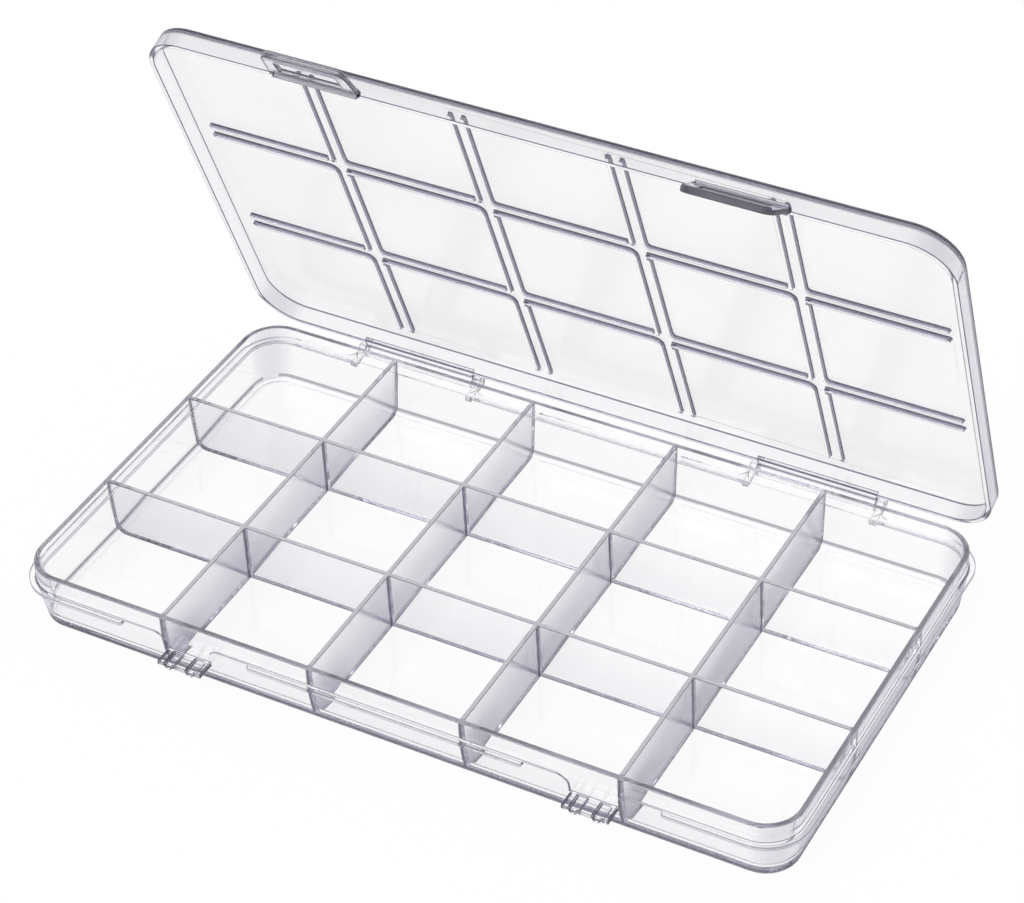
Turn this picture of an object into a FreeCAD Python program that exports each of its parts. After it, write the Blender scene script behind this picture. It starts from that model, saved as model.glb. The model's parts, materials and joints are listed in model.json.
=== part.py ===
import FreeCAD, Part
import math
import os

from FreeCAD import Vector

# Clear bead organizer: a tray of fifteen compartments under one hinged lid with two latch flaps.
# X runs along the long front to the right, Y from the front to the hinges, Z up.
# The origin is the middle of the tray's flat underside. Lengths are in millimetres, angles in degrees.

# Tray at its rim
tray_length = 171.0
tray_width = 94.7
tray_height = 14.2

# Compartments: the outer ones reach a little further out than the pitch
columns = 5
rows = 3
end_bay_extra = 0.5
side_bay_extra = 0.1
divider_top = 1.0
divider_foot = 1.6

# Tray shell: an upright upper wall stands on a lower wall that leans in towards the floor
floor_thickness = 1.2
wall_thickness = 1.1
rim_corner = 8.2
rim_edge_radius = 0.3
upper_wall_height = 4.0
step_ledge = 0.35
end_wall_lean = 1.55
side_wall_lean = 1.95
foot_corner = 7.0
foot_edge_radius = 1.0
floor_fillet = 2.7

# Flange that the lid's skirt comes down to
flange_reach = 1.4
flange_thickness = 0.8
flange_end_radius = 0.8
front_gap_width = 29.4

# Catches for the latch flaps, each beside an outer column divider
catch_inset = 5.6
catch_below_step = 4.3
catch_thickness = 0.9
catch_reach = 3.5
catch_edge_radius = 0.3
outer_bar_width = 1.5
low_bar_width = 2.1
middle_bar_width = 2.9
low_bar_drop = 0.35
lug_width = 1.9
lug_thickness = 0.8
lug_drop = 0.6
recess_margin = 0.15
recess_flare = 2.5

# Lid
lid_side_clearance = 0.3
lid_rim_clearance = 0.3
skirt_edge_clearance = 0.4
skirt_thickness = 1.1
plate_thickness = 1.1
lid_edge_radius = 0.8
lid_inner_radius = 0.4
lid_rest_angle = 69.2

# Ribs under the lid, in pairs that straddle the dividers
rib_spacing = 2.9
rib_width = 0.9
rib_height = 0.9
rib_tip_radius = 0.25
rib_turn_radius = 1.5
rib_short_stop = 2.2
rib_run_up = 1.0
rib_side_margin = 3.5
rib_front_margin = 2.35
rib_rear_margin = 3.15

# Hinges, each beside an outer column divider
hinge_inset = 3.5
hinge_length = 30.2
hinge_reach = 4.1
barrel_radius = 1.7
ear_width = 1.4
ear_side_clearance = 0.2
ear_gusset = 2.0
pin_radius = 0.8
pin_clearance = 0.05
web_thickness = 1.1

# Latch flaps
flap_root_width = 20.0
flap_end_width = 19.0
flap_length = 8.2
flap_thickness = 1.0
flap_corner = 2.2
flap_rim_height = 0.9
flap_rim_proud = 0.5
window_width = 14.0
window_start = 1.6
window_end = 5.8
window_corner = 0.4
bead_radius = 0.6
bead_clearance = 0.05
neck_thickness = 0.5
neck_clearance_angle = 5.0
neck_gap = 0.1
socket_wall = 0.4
socket_end_margin = 0.5
latch_axis_out = 0.65
latch_axis_drop = 0.2
latch_travel_angle = 110.0
left_latch_angle = 78.0
right_latch_angle = 48.0

# Cutting tools run this far past the faces that they cut, and edges are picked to within the tolerance
overrun = 1.0
pick_tolerance = 0.001

# Heights and half sizes that follow from the sizes above
rim_z = tray_height
step_z = rim_z - upper_wall_height
rim_half_x = tray_length / 2
rim_half_y = tray_width / 2
column_pitch = (tray_length - 2 * end_bay_extra) / columns
row_pitch = (tray_width - 2 * side_bay_extra) / rows
step_half_x = rim_half_x + step_ledge
step_half_y = rim_half_y + step_ledge
step_corner = rim_corner + step_ledge
foot_half_x = step_half_x - end_wall_lean
foot_half_y = step_half_y - side_wall_lean
divider_xs = [(i - columns / 2) * column_pitch for i in range(1, columns)]
divider_ys = [(i - rows / 2) * row_pitch for i in range(1, rows)]

catch_z = step_z - catch_below_step
catch_front_y = -(rim_half_y + catch_reach)
catch_width = 2 * outer_bar_width + 2 * low_bar_width + middle_bar_width
catch_xs = [divider_xs[0] + catch_inset, divider_xs[-1] - catch_inset]

skirt_edge_z = step_z + skirt_edge_clearance
plate_z = rim_z + lid_rim_clearance
lid_top_z = plate_z + plate_thickness
skirt_half_x = rim_half_x + lid_side_clearance
skirt_half_y = rim_half_y + lid_side_clearance
skirt_corner = rim_corner + lid_side_clearance
lid_half_x = skirt_half_x + skirt_thickness
lid_half_y = skirt_half_y + skirt_thickness
lid_corner = skirt_corner + skirt_thickness

hinge_y = rim_half_y + hinge_reach
hinge_z = skirt_edge_z
hinge_xs = [divider_xs[0] + hinge_inset, divider_xs[-1] - hinge_inset]

latch_y = -(lid_half_y + latch_axis_out)
latch_z = skirt_edge_z - latch_axis_drop

along_x = Vector(1, 0, 0)
opening_axis = Vector(-1, 0, 0)


def outline(half_x, half_y, corner, z):
    """Closed wire: a rectangle with round corners, flat at height z."""
    edges = []
    last = None
    first = None
    sides = [(1, -1), (1, 1), (-1, 1), (-1, -1)]
    for quarter, (side_x, side_y) in enumerate(sides):
        start_angle = math.radians(90 * quarter - 90)
        centre = Vector(side_x * (half_x - corner), side_y * (half_y - corner), z)
        points = []
        for turn in (0, 45, 90):
            angle = start_angle + math.radians(turn)
            points.append(centre + Vector(math.cos(angle), math.sin(angle), 0) * corner)
        if last is None:
            first = points[0]
        else:
            edges.append(Part.makeLine(last, points[0]))
        edges.append(Part.Arc(points[0], points[1], points[2]).toShape())
        last = points[2]
    edges.append(Part.makeLine(last, first))
    return Part.Wire(edges)


def slab(half_x, half_y, corner, low_z, high_z):
    """Upright block with round corners."""
    face = Part.Face(outline(half_x, half_y, corner, low_z))
    return face.extrude(Vector(0, 0, high_z - low_z))


def tapered(low, high):
    """Block between two outlines, each given as half_x, half_y, corner and height."""
    return Part.makeLoft([outline(*low), outline(*high)], True, True)


def box(x_range, y_range, z_range):
    """Square block between two corners."""
    size = [high - low for low, high in (x_range, y_range, z_range)]
    return Part.makeBox(size[0], size[1], size[2], Vector(x_range[0], y_range[0], z_range[0]))


def rod(radius, x_range, y, z):
    """Cylinder along X."""
    return Part.makeCylinder(radius, x_range[1] - x_range[0], Vector(x_range[0], y, z), along_x)


def prism(points, travel):
    """Straight extrusion of a closed polygon."""
    return Part.Face(Part.makePolygon(points + [points[0]])).extrude(travel)


def centred(middle, width):
    """Range of the given width about a middle."""
    return (middle - width / 2, middle + width / 2)


def joined(pieces):
    """One solid from pieces that touch."""
    return pieces[0].multiFuse(pieces[1:]).removeSplitter()


def near(place, wanted):
    """Whether two places are the same to within the picking tolerance."""
    return abs(place - wanted) < pick_tolerance


def level_edges(shape, z):
    """Edges that lie flat at height z."""
    return [edge for edge in shape.Edges if near(edge.BoundBox.ZMin, z) and near(edge.BoundBox.ZMax, z)]


def upright_edges(shape, x, y):
    """Vertical edges that stand at x, y."""
    found = []
    for edge in shape.Edges:
        bounds = edge.BoundBox
        at_x = near(bounds.XMin, x) and near(bounds.XMax, x)
        at_y = near(bounds.YMin, y) and near(bounds.YMax, y)
        if at_x and at_y:
            found.append(edge)
    return found


def edges_along_x(shape, y, z):
    """Edges along X at y, z."""
    found = []
    for edge in shape.Edges:
        bounds = edge.BoundBox
        at_y = near(bounds.YMin, y) and near(bounds.YMax, y)
        at_z = near(bounds.ZMin, z) and near(bounds.ZMax, z)
        if at_y and at_z:
            found.append(edge)
    return found


# Tray

def lean_share(z):
    """How far up the leaning lower wall the height z is, from 0 at the foot to 1 at the step."""
    return z / step_z


def wall_outline(inset, z):
    """Sizes of the lower wall's outline at height z, set in by inset."""
    share = lean_share(z)
    half_x = foot_half_x + (step_half_x - foot_half_x) * share - inset
    half_y = foot_half_y + (step_half_y - foot_half_y) * share - inset
    corner = foot_corner + (step_corner - foot_corner) * share - inset
    return half_x, half_y, corner, z


def compartment_outline(z):
    """Sizes of the hollow's outline at height z: it leans from the foot's wall to the rim's wall."""
    share = (z - floor_thickness) / (rim_z - floor_thickness)
    low_x, low_y, low_corner, _ = wall_outline(wall_thickness, floor_thickness)
    high_x = rim_half_x - wall_thickness
    high_y = rim_half_y - wall_thickness
    high_corner = rim_corner - wall_thickness
    half_x = low_x + (high_x - low_x) * share
    half_y = low_y + (high_y - low_y) * share
    corner = low_corner + (high_corner - low_corner) * share
    return half_x, half_y, corner, z


def divider(place, along_y):
    """Drafted divider blade across the whole tray, with its top level with the rim."""
    profile = [
        (-divider_foot / 2, floor_thickness - overrun),
        (divider_foot / 2, floor_thickness - overrun),
        (divider_foot / 2, floor_thickness),
        (divider_top / 2, rim_z),
        (-divider_top / 2, rim_z),
        (-divider_foot / 2, floor_thickness),
    ]
    if along_y:
        points = [Vector(place + side, -rim_half_y, z) for side, z in profile]
        return prism(points, Vector(0, 2 * rim_half_y, 0))
    points = [Vector(-rim_half_x, place + side, z) for side, z in profile]
    return prism(points, Vector(2 * rim_half_x, 0, 0))


def compartments():
    """The fifteen hollows as one cutting tool."""
    low = compartment_outline(floor_thickness)
    high = compartment_outline(rim_z + overrun)
    hollow = tapered(low, high)
    hollow = hollow.makeFillet(min(floor_fillet, low[2] * 0.9), level_edges(hollow, floor_thickness))
    for x in divider_xs:
        hollow = hollow.cut(divider(x, True))
    for y in divider_ys:
        hollow = hollow.cut(divider(y, False))
    return hollow


def lower_wall():
    """The leaning lower wall as a full block, with its shallow latch recesses."""
    block = tapered(wall_outline(0, 0), wall_outline(0, step_z))
    block = block.makeFillet(foot_edge_radius, level_edges(block, 0))
    core = tapered(wall_outline(step_ledge, -overrun), wall_outline(step_ledge, step_z + overrun))
    for x in catch_xs:
        block = block.cut(recess(x).cut(core))
    return block


def recess(x):
    """Cutter for one latch recess, flared at the top where it meets the step."""
    half = catch_width / 2 + recess_margin
    flare = recess_flare
    bend = flare * (1 - math.sqrt(0.5))
    y = -(step_half_y + overrun)
    top = step_z + overrun

    def at(side, z):
        return Vector(x + side, y, z)

    edges = [
        Part.makeLine(at(-half, catch_z), at(half, catch_z)),
        Part.makeLine(at(half, catch_z), at(half, step_z - flare)),
        Part.Arc(at(half, step_z - flare), at(half + bend, step_z - bend), at(half + flare, step_z)).toShape(),
        Part.makeLine(at(half + flare, step_z), at(half + flare, top)),
        Part.makeLine(at(half + flare, top), at(-half - flare, top)),
        Part.makeLine(at(-half - flare, top), at(-half - flare, step_z)),
        Part.Arc(at(-half - flare, step_z), at(-half - bend, step_z - bend), at(-half, step_z - flare)).toShape(),
        Part.makeLine(at(-half, step_z - flare), at(-half, catch_z)),
    ]
    return Part.Face(Part.Wire(edges)).extrude(Vector(0, step_half_y + overrun, 0))


def flange():
    """Flat flange at the step, left out at the latches and between the hinge ears."""
    ring = slab(rim_half_x + flange_reach, rim_half_y + flange_reach, rim_corner + flange_reach,
                step_z - flange_thickness, step_z)
    z_range = (step_z - flange_thickness - overrun, step_z + overrun)
    outer_y = rim_half_y + flange_reach
    for x in catch_xs:
        ring = ring.cut(box(centred(x, front_gap_width), (-outer_y - overrun, -rim_half_y), z_range))
    for x in hinge_xs:
        inner_width = hinge_length - 2 * ear_width
        ring = ring.cut(box(centred(x, inner_width), (rim_half_y, outer_y + overrun), z_range))
    ends = []
    for x in catch_xs:
        for end_x in centred(x, front_gap_width):
            ends += upright_edges(ring, end_x, -outer_y)
    return ring.makeFillet(min(flange_end_radius, flange_reach / 2), ends)


def lug(x):
    """Rounded lug that hangs from the front edge of a low catch bar and holds the flap's bar in."""
    top = catch_z - low_bar_drop
    low = catch_z - catch_thickness - lug_drop
    radius = lug_width / 2
    y_range = (catch_front_y, catch_front_y + lug_thickness)
    nose = Part.makeCylinder(radius, lug_thickness, Vector(x, catch_front_y, low + radius), Vector(0, 1, 0))
    nose = nose.common(box(centred(x, lug_width), y_range, (low, top)))
    return nose.fuse(box(centred(x, lug_width), y_range, (low + radius, top)))


def catch(x):
    """Shelf of five bars that the flap's window snaps over, two of them lower and with a lug each."""
    widths = [outer_bar_width, low_bar_width, middle_bar_width, low_bar_width, outer_bar_width]
    pieces = []
    left = x - catch_width / 2
    for index, width in enumerate(widths):
        is_low = index % 2 == 1
        top = catch_z - (low_bar_drop if is_low else 0)
        bar = box((left, left + width), (catch_front_y, -foot_half_y), (catch_z - catch_thickness, top))
        bar = bar.makeFillet(catch_edge_radius, edges_along_x(bar, catch_front_y, top))
        pieces.append(bar)
        if is_low:
            pieces.append(lug(left + width / 2))
        left += width
    return joined(pieces)


def ear(x, outward):
    """One hinge ear: an arm from the wall to a round eye, and the gusset where the flange runs into it."""
    x_range = centred(x, ear_width)
    arm = box(x_range, (rim_half_y - wall_thickness / 2, hinge_y), (hinge_z - barrel_radius, step_z))
    eye = rod(barrel_radius, x_range, hinge_y, hinge_z)
    side_x = x + outward * ear_width / 2
    outer_y = rim_half_y + flange_reach
    span = (side_x, side_x + outward * ear_gusset)
    corner = box((min(span), max(span)), (outer_y - flange_reach / 2, outer_y + ear_gusset),
                 (step_z - flange_thickness, step_z))
    round_cut = Part.makeCylinder(ear_gusset, flange_thickness + 2 * overrun,
                                  Vector(span[1], outer_y + ear_gusset, step_z - flange_thickness - overrun))
    return joined([arm, eye, corner.cut(round_cut)])


def ears():
    """Both ears of both hinges."""
    offset = (hinge_length - ear_width) / 2
    return [ear(x + side * offset, side) for x in hinge_xs for side in (-1, 1)]


def pin_hole(x, radius):
    """Cutter for a hinge pin's hole along one hinge."""
    return rod(radius, centred(x, hinge_length + 2 * overrun), hinge_y, hinge_z)


def base_tray():
    """Tray, dividers, flange, catches and hinge ears, moulded in one."""
    upper = slab(rim_half_x, rim_half_y, rim_corner, step_z - flange_thickness, rim_z)
    upper = upper.makeFillet(rim_edge_radius, level_edges(upper, rim_z))
    body = joined([lower_wall(), upper, flange()] + [catch(x) for x in catch_xs] + ears())
    body = body.cut(compartments())
    for x in hinge_xs:
        body = body.cut(pin_hole(x, pin_radius))
    return body


def hinge_pin(x):
    """Clear pin pressed into a hinge's two ears."""
    return rod(pin_radius, centred(x, hinge_length), hinge_y, hinge_z)


# Lid, modelled closed

def rib(x_range, y_range, round_start, round_end):
    """Straight rib between two points along X or Y, with a round end where it stops free."""
    low_z = plate_z - rib_height
    height = rib_height + plate_thickness / 2
    along = x_range[0] != x_range[1]
    half = rib_width / 2
    if along:
        start = x_range[0] + (half if round_start else 0)
        end = x_range[1] - (half if round_end else 0)
        pieces = [box((start, end), centred(y_range[0], rib_width), (low_z, low_z + height))]
        centres = [(start, y_range[0]), (end, y_range[0])]
    else:
        start = y_range[0] + (half if round_start else 0)
        end = y_range[1] - (half if round_end else 0)
        pieces = [box(centred(x_range[0], rib_width), (start, end), (low_z, low_z + height))]
        centres = [(x_range[0], start), (x_range[0], end)]
    for (x, y), is_round in zip(centres, (round_start, round_end)):
        if is_round:
            pieces.append(Part.makeCylinder(half, height, Vector(x, y, low_z)))
    return pieces


def rib_turn(x, y, x_side, y_side):
    """Quarter turn that joins a row rib to a column rib beside the crossing at x, y."""
    low_z = plate_z - rib_height
    height = rib_height + plate_thickness / 2
    reach = rib_spacing / 2 + rib_turn_radius
    centre = Vector(x + x_side * reach, y + y_side * reach, low_z)
    ring = Part.makeCylinder(rib_turn_radius + rib_width / 2, height, centre)
    ring = ring.cut(Part.makeCylinder(rib_turn_radius - rib_width / 2, height, centre))
    far_x = centre.x - x_side * 2 * rib_turn_radius
    far_y = centre.y - y_side * 2 * rib_turn_radius
    quarter = box((min(centre.x, far_x), max(centre.x, far_x)), (min(centre.y, far_y), max(centre.y, far_y)),
                  (low_z, low_z + height))
    return ring.common(quarter)


def row_ribs(y):
    """Ribs on both sides of one row divider."""
    half = rib_spacing / 2
    turn = half + rib_turn_radius
    ends = rim_half_x - rib_side_margin
    pieces = []
    for span in range(columns):
        first = span == 0
        last = span == columns - 1
        left = -ends if first else divider_xs[span - 1]
        right = ends if last else divider_xs[span]
        front = (left if first else left + turn, right if last else right - rib_short_stop)
        rear = (left if first else left + rib_run_up, right if last else right - turn)
        pieces += rib(front, (y - half, y - half), first, True)
        pieces += rib(rear, (y + half, y + half), True, last)
    return pieces


def column_ribs(x):
    """Ribs on both sides of one column divider."""
    half = rib_spacing / 2
    turn = half + rib_turn_radius
    front_end = -(rim_half_y - rib_front_margin)
    rear_end = rim_half_y - rib_rear_margin
    pieces = []
    for span in range(rows):
        first = span == 0
        last = span == rows - 1
        front = front_end if first else divider_ys[span - 1]
        rear = rear_end if last else divider_ys[span]
        left = (front if first else front + turn, rear if last else rear - rib_run_up)
        right = (front if first else front + rib_short_stop, rear if last else rear - turn)
        pieces += rib((x - half, x - half), left, first, True)
        pieces += rib((x + half, x + half), right, True, last)
    return pieces


def ribs():
    """All ribs with rounded tips."""
    pieces = []
    for y in divider_ys:
        pieces += row_ribs(y)
    for x in divider_xs:
        pieces += column_ribs(x)
    for x in divider_xs:
        for y in divider_ys:
            pieces.append(rib_turn(x, y, 1, -1))
            pieces.append(rib_turn(x, y, -1, 1))
    network = joined(pieces)
    rounded = []
    for solid in network.Solids:
        rounded.append(solid.makeFillet(rib_tip_radius, level_edges(solid, plate_z - rib_height)))
    return rounded


def lid_shell():
    """Plate and skirt, hollow below."""
    outer = slab(lid_half_x, lid_half_y, lid_corner, skirt_edge_z, lid_top_z)
    outer = outer.makeFillet(lid_edge_radius, level_edges(outer, lid_top_z))
    hollow = slab(skirt_half_x, skirt_half_y, skirt_corner, skirt_edge_z - overrun, plate_z)
    hollow = hollow.makeFillet(lid_inner_radius, level_edges(hollow, plate_z))
    return outer.cut(hollow)


def lid_barrel(x):
    """Hinge barrel between the ears, and the web that carries it from the rear skirt."""
    length = hinge_length - 2 * ear_width - 2 * ear_side_clearance
    x_range = centred(x, length)
    barrel = rod(barrel_radius, x_range, hinge_y, hinge_z)
    web = box(x_range, (lid_half_y - skirt_thickness / 2, hinge_y), (hinge_z, hinge_z + web_thickness))
    return joined([barrel, web]).cut(pin_hole(x, pin_radius + pin_clearance))


def flap_socket(x):
    """Open socket along the skirt's lower edge that the flap's bead snaps into."""
    bore = bead_radius + bead_clearance
    x_range = centred(x, flap_root_width - 2 * socket_end_margin)
    tube = rod(bore + socket_wall, x_range, latch_y, latch_z)
    anchor = box(x_range, (latch_y, -lid_half_y + skirt_thickness / 2),
                 (skirt_edge_z, latch_z + bore + socket_wall))
    neck_angle = math.degrees(math.asin(neck_thickness / 2 / bead_radius)) + neck_clearance_angle
    first = math.radians(-90 - neck_angle)
    sweep = math.radians(latch_travel_angle + 2 * neck_angle)
    reach = 2 * (bore + socket_wall)
    fan = [Vector(x_range[0] - overrun, latch_y, latch_z)]
    steps = 4
    for step in range(steps + 1):
        # the opening turns from straight down round to the front and up
        angle = first + math.radians(2 * neck_angle) - sweep * step / steps
        fan.append(Vector(x_range[0] - overrun, latch_y + reach * math.cos(angle), latch_z + reach * math.sin(angle)))
    opening = prism(fan, Vector(x_range[1] - x_range[0] + 2 * overrun, 0, 0))
    return joined([tube, anchor]).cut(rod(bore, x_range, latch_y, latch_z)).cut(opening)


def lid_closed():
    """The lid as it lies shut on the tray."""
    pieces = [lid_shell()] + ribs()
    pieces += [lid_barrel(x) for x in hinge_xs]
    pieces += [flap_socket(x) for x in catch_xs]
    return joined(pieces)


# Latch flaps, modelled shut on a closed lid: they hang straight down from their beads

def flap_outline(x, start, y):
    """Closed wire of a flap's plate, narrower and round-cornered at the free end."""
    top = latch_z - start
    low = latch_z - flap_length
    root = flap_root_width / 2
    tip = flap_end_width / 2
    corner = flap_corner
    bend = corner * (1 - math.sqrt(0.5))

    def at(side, z):
        return Vector(x + side, y, z)

    edges = [
        Part.makeLine(at(-root, top), at(root, top)),
        Part.makeLine(at(root, top), at(tip, low + corner)),
        Part.Arc(at(tip, low + corner), at(tip - bend, low + bend), at(tip - corner, low)).toShape(),
        Part.makeLine(at(tip - corner, low), at(-tip + corner, low)),
        Part.Arc(at(-tip + corner, low), at(-tip + bend, low + bend), at(-tip, low + corner)).toShape(),
        Part.makeLine(at(-tip, low + corner), at(-root, top)),
    ]
    return Part.Wire(edges)


def window(x):
    """Cutter for the flap's window, which goes over the catch."""
    z_range = (latch_z - window_end, latch_z - window_start)
    y_range = (latch_y - flap_thickness - overrun, latch_y + flap_thickness + overrun)
    hole = box(centred(x, window_width), y_range, z_range)
    corners = []
    for edge in hole.Edges:
        if edge.BoundBox.YLength > flap_thickness:
            corners.append(edge)
    return hole.makeFillet(window_corner, corners)


def flap_closed(x):
    """A latch flap hanging from its bead."""
    plate_start = bead_radius + bead_clearance + socket_wall + neck_gap
    back_y = latch_y + flap_thickness / 2
    plate = Part.Face(flap_outline(x, plate_start, back_y)).extrude(Vector(0, -flap_thickness, 0))
    rim = Part.Face(flap_outline(x, plate_start, back_y)).extrude(Vector(0, -flap_thickness - flap_rim_proud, 0))
    band = box(centred(x, flap_root_width + overrun), (latch_y - flap_thickness - flap_rim_proud, back_y),
               (latch_z - flap_length, latch_z - flap_length + flap_rim_height))
    x_range = centred(x, flap_root_width)
    bead = rod(bead_radius, x_range, latch_y, latch_z)
    neck = box(x_range, centred(latch_y, neck_thickness), (latch_z - plate_start, latch_z))
    return joined([plate, rim.common(band), bead, neck]).cut(window(x))


# Rest pose: the lid stands open, and each flap hangs out from the lid's front edge

def opened_lid(shape):
    """Turn a piece that rides on the lid from shut to the rest opening."""
    return shape.copy().rotate(Vector(0, hinge_y, hinge_z), opening_axis, lid_rest_angle)


def opened_flap(shape, angle):
    """Turn a flap out from its closed place, then with the lid."""
    turned = shape.copy().rotate(Vector(0, latch_y, latch_z), opening_axis, angle)
    return opened_lid(turned)


def main():
    os.makedirs("parts", exist_ok=True)
    nodes = {
        "base_tray": base_tray(),
        "lid": opened_lid(lid_closed()),
        "latch_left": opened_flap(flap_closed(catch_xs[0]), left_latch_angle),
        "latch_right": opened_flap(flap_closed(catch_xs[1]), right_latch_angle),
        "hinge_pin_left": hinge_pin(hinge_xs[0]),
        "hinge_pin_right": hinge_pin(hinge_xs[1]),
    }
    for name, shape in nodes.items():
        solids = len(shape.Solids)
        print(name, "solids", solids, "volume", round(shape.Volume), "valid", shape.isValid())
        shape.exportStep("parts/" + name + ".step")


main()
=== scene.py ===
# %% [markdown]
# A clear bead organizer, as a lesson in clear moulded plastic
#
# The object is a shallow tray of fifteen compartments under one big hinged lid, moulded in a clear
# resin with a faint violet cast. The engineering model is loaded first and stays fixed. Everything
# below dresses it: rounded mould edges, clear materials that deepen where the plastic is thick, and
# a white studio. Clear plastic shows itself almost only by its edges, so most of the work goes there.

# %% Load the fixed frame
import bpy
import json
import math
from mathutils import Euler, Matrix, Vector
from mathutils.bvhtree import BVHTree
from mathutils.geometry import intersect_point_line

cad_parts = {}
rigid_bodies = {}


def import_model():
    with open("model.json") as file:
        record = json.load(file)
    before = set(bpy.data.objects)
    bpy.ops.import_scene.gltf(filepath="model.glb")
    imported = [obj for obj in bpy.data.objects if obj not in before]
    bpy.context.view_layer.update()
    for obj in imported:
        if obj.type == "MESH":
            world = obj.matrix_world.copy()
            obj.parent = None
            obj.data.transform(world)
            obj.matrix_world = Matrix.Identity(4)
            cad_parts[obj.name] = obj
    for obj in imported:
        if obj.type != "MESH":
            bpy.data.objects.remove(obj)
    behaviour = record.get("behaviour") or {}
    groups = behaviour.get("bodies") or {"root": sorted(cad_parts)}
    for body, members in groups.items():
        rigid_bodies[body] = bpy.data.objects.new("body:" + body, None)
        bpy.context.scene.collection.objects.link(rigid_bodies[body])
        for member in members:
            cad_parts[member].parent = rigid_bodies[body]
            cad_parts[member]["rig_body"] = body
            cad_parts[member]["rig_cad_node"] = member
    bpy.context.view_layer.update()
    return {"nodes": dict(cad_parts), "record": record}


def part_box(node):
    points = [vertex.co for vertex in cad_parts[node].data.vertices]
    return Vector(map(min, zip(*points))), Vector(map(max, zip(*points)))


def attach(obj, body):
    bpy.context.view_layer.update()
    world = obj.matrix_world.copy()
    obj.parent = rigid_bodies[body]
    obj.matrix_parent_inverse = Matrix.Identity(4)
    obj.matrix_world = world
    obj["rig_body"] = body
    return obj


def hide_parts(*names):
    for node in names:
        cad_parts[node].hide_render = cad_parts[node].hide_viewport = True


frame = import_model()

# %% [markdown]
# The camera stands high in front of the tray, a little to the right, with a long lens, so that the
# far side is hardly smaller than the near side. It also leans by about two degrees, which turns the
# whole picture slightly. The angles could be found by eye, but a long lens hides errors of place, so
# they were worked out from the tray's straight edges.

# %% Camera
camera_place = Vector((0.2490, -0.4295, 0.4395))
camera_turn = (51.165, 1.833, 28.231)
camera_lens = 113.42
camera_sensor = 36.0
camera_near = 0.01
camera_far = 50.0


def turned(degrees):
    """Rotation from three angles in degrees."""
    return Euler([math.radians(angle) for angle in degrees], "XYZ")


bpy.ops.object.select_all(action="DESELECT")
bpy.ops.object.camera_add(location=camera_place, rotation=turned(camera_turn))
camera = bpy.context.active_object
camera.name = "photo_camera"
camera.data.lens = camera_lens
camera.data.sensor_width = camera_sensor
camera.data.clip_start = camera_near
camera.data.clip_end = camera_far
bpy.context.scene.camera = camera
print("camera at", tuple(camera.location))

# %% [markdown]
# Two settings belong to the look. The Standard view shows colours as they are written. And a ray
# that crosses five compartments passes more than twenty clear faces, while a path that runs out of
# bounces ends black, so the limits for clear surfaces are raised.

# %% View and bounces
clear_bounces = 40

scene = bpy.context.scene
scene.view_settings.view_transform = "Standard"
scene.cycles.max_bounces = clear_bounces
scene.cycles.transmission_bounces = clear_bounces
scene.cycles.glossy_bounces = clear_bounces
print("bounces", scene.cycles.max_bounces)

# %% [markdown]
# Node trees are wired by small helpers. One adds a node and sets its plain values, one joins two
# sockets, and others follow where they are first needed. Wiring by hand in the shader editor gives
# the same trees, but helpers keep each material cell down to what matters.

# %% Helpers: nodes and links
def node(tree, kind, inputs=None, **settings):
    """Add a node, set its own properties and the plain values of its inputs."""
    made = tree.nodes.new(kind)
    for name, value in settings.items():
        setattr(made, name, value)
    for name, value in (inputs or {}).items():
        made.inputs[name].default_value = value
    return made


def join(tree, source, target):
    """Wire an output socket to an input socket."""
    tree.links.new(source, target)


def grey(value):
    """An opaque grey."""
    return (value, value, value, 1.0)


print("white is", grey(1.0))

# %% [markdown]
# Clear plastic is photographed against the light: a white floor and backdrop shine through it, and
# darker surroundings above draw its edges. So the world is white for the camera. Rays that passed
# through plastic find white low down and a violet grey ceiling high up, which only the steep edges
# reach. Mirrored rays find grey walls low down and one broad white softbox above. Real panels round
# the object would do the same, but their shapes would show as bright patches in every pane.

# %% Studio: sky and height
studio = bpy.data.worlds.new("studio")
scene.world = studio
studio.use_nodes = True
tree = studio.node_tree
tree.nodes.clear()


def ramp(tree, source, start, end, low, high):
    """A value that runs from low to high while the source runs from start to end."""
    mapped = node(tree, "ShaderNodeMapRange",
                  {"From Min": start, "From Max": end, "To Min": low, "To Max": high},
                  interpolation_type="SMOOTHSTEP")
    join(tree, source, mapped.inputs["Value"])
    return mapped.outputs["Result"]


def sky(tree, rise, span, low_colour, high_colour):
    """Background that turns from one colour to another between two heights of the sky."""
    blend = node(tree, "ShaderNodeMix", {"A": low_colour, "B": high_colour}, data_type="RGBA")
    join(tree, ramp(tree, rise, span[0], span[1], 0.0, 1.0), blend.inputs["Factor"])
    light = node(tree, "ShaderNodeBackground")
    join(tree, blend.outputs["Result"], light.inputs["Color"])
    return light.outputs[0]


rays = node(tree, "ShaderNodeLightPath")
direction = node(tree, "ShaderNodeTexCoord")
parts = node(tree, "ShaderNodeSeparateXYZ")
join(tree, direction.outputs["Generated"], parts.inputs[0])
rise = parts.outputs["Z"]
print("world", studio.name)

# %% Studio: light by the kind of ray
backdrop_white = grey(1.0)
ceiling_grey = (0.70, 0.69, 0.74, 1.0)
wall_grey = (0.85, 0.845, 0.87, 1.0)
softbox_white = grey(1.0)
fill_strength = 0.62
ceiling_span = (0.10, 0.60)
softbox_span = (0.25, 0.50)


def choose(tree, factor, without, with_it):
    """Mix two shaders by a ray's kind."""
    mix = node(tree, "ShaderNodeMixShader")
    join(tree, factor, mix.inputs[0])
    join(tree, without, mix.inputs[1])
    join(tree, with_it, mix.inputs[2])
    return mix.outputs[0]


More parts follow.
